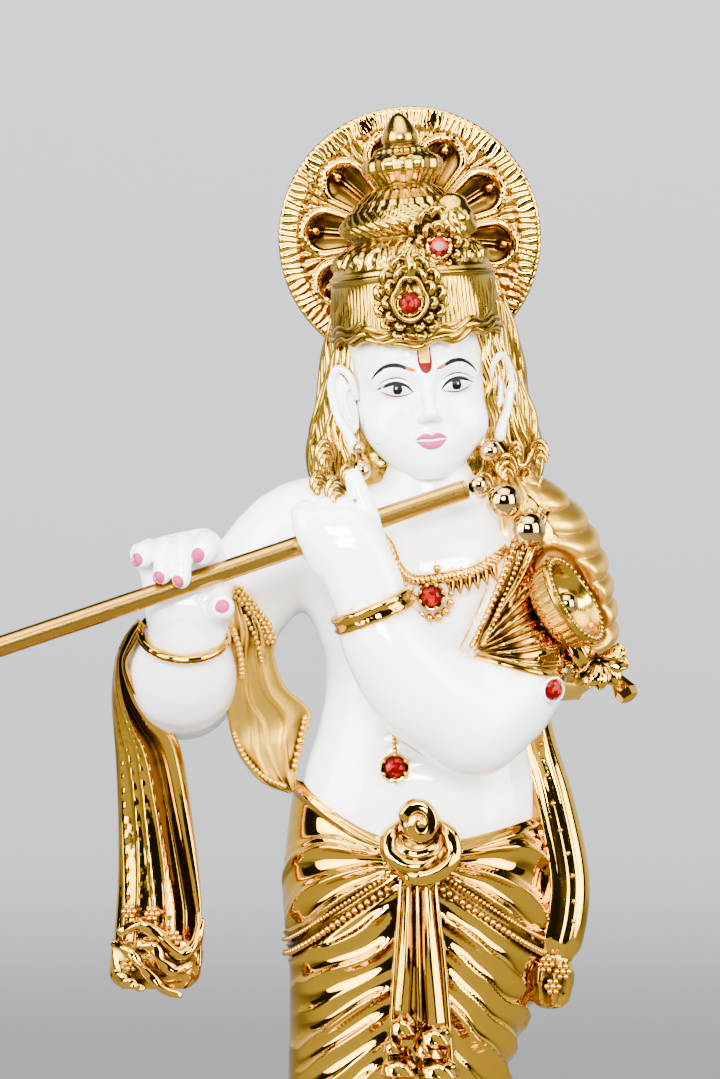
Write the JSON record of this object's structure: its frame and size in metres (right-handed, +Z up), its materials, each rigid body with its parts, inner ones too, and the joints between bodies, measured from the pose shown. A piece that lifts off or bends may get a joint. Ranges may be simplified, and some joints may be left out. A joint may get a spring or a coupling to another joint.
{
  "type": "krishna figure",
  "caption": "Standing Krishna figure playing a flute, white body with gold-plated dress, crown and halo, on a low round base.",
  "frame": {"origin": "centre of the base's underside", "axes": "+Z up from the base to the crown's tip, the face looks along -Y, the figure's left hand side is +X"},
  "size_m": [0.1421, 0.0789, 0.2861],
  "materials": {
    "white_glaze": "gloss",
    "gold_plate": "mirror polished gold plating",
    "flute_brass": "satin",
    "red_stone": "cut and polished"
  },
  "bodies": {
    "root": {"base": "gold_plate", "figure": "white_glaze", "halo_disc": "gold_plate", "flute": "flute_brass", "upper_bead": "gold_plate", "middle_bead": "gold_plate", "lower_bead": "gold_plate", "bell": "gold_plate", "bell_clapper": "gold_plate", "tassel": "gold_plate", "crown_stone": "red_stone", "knob_stone": "red_stone", "necklace_stone": "red_stone", "pendant_stone": "red_stone", "armlet_stone": "red_stone"}
  },
  "joints": []
}
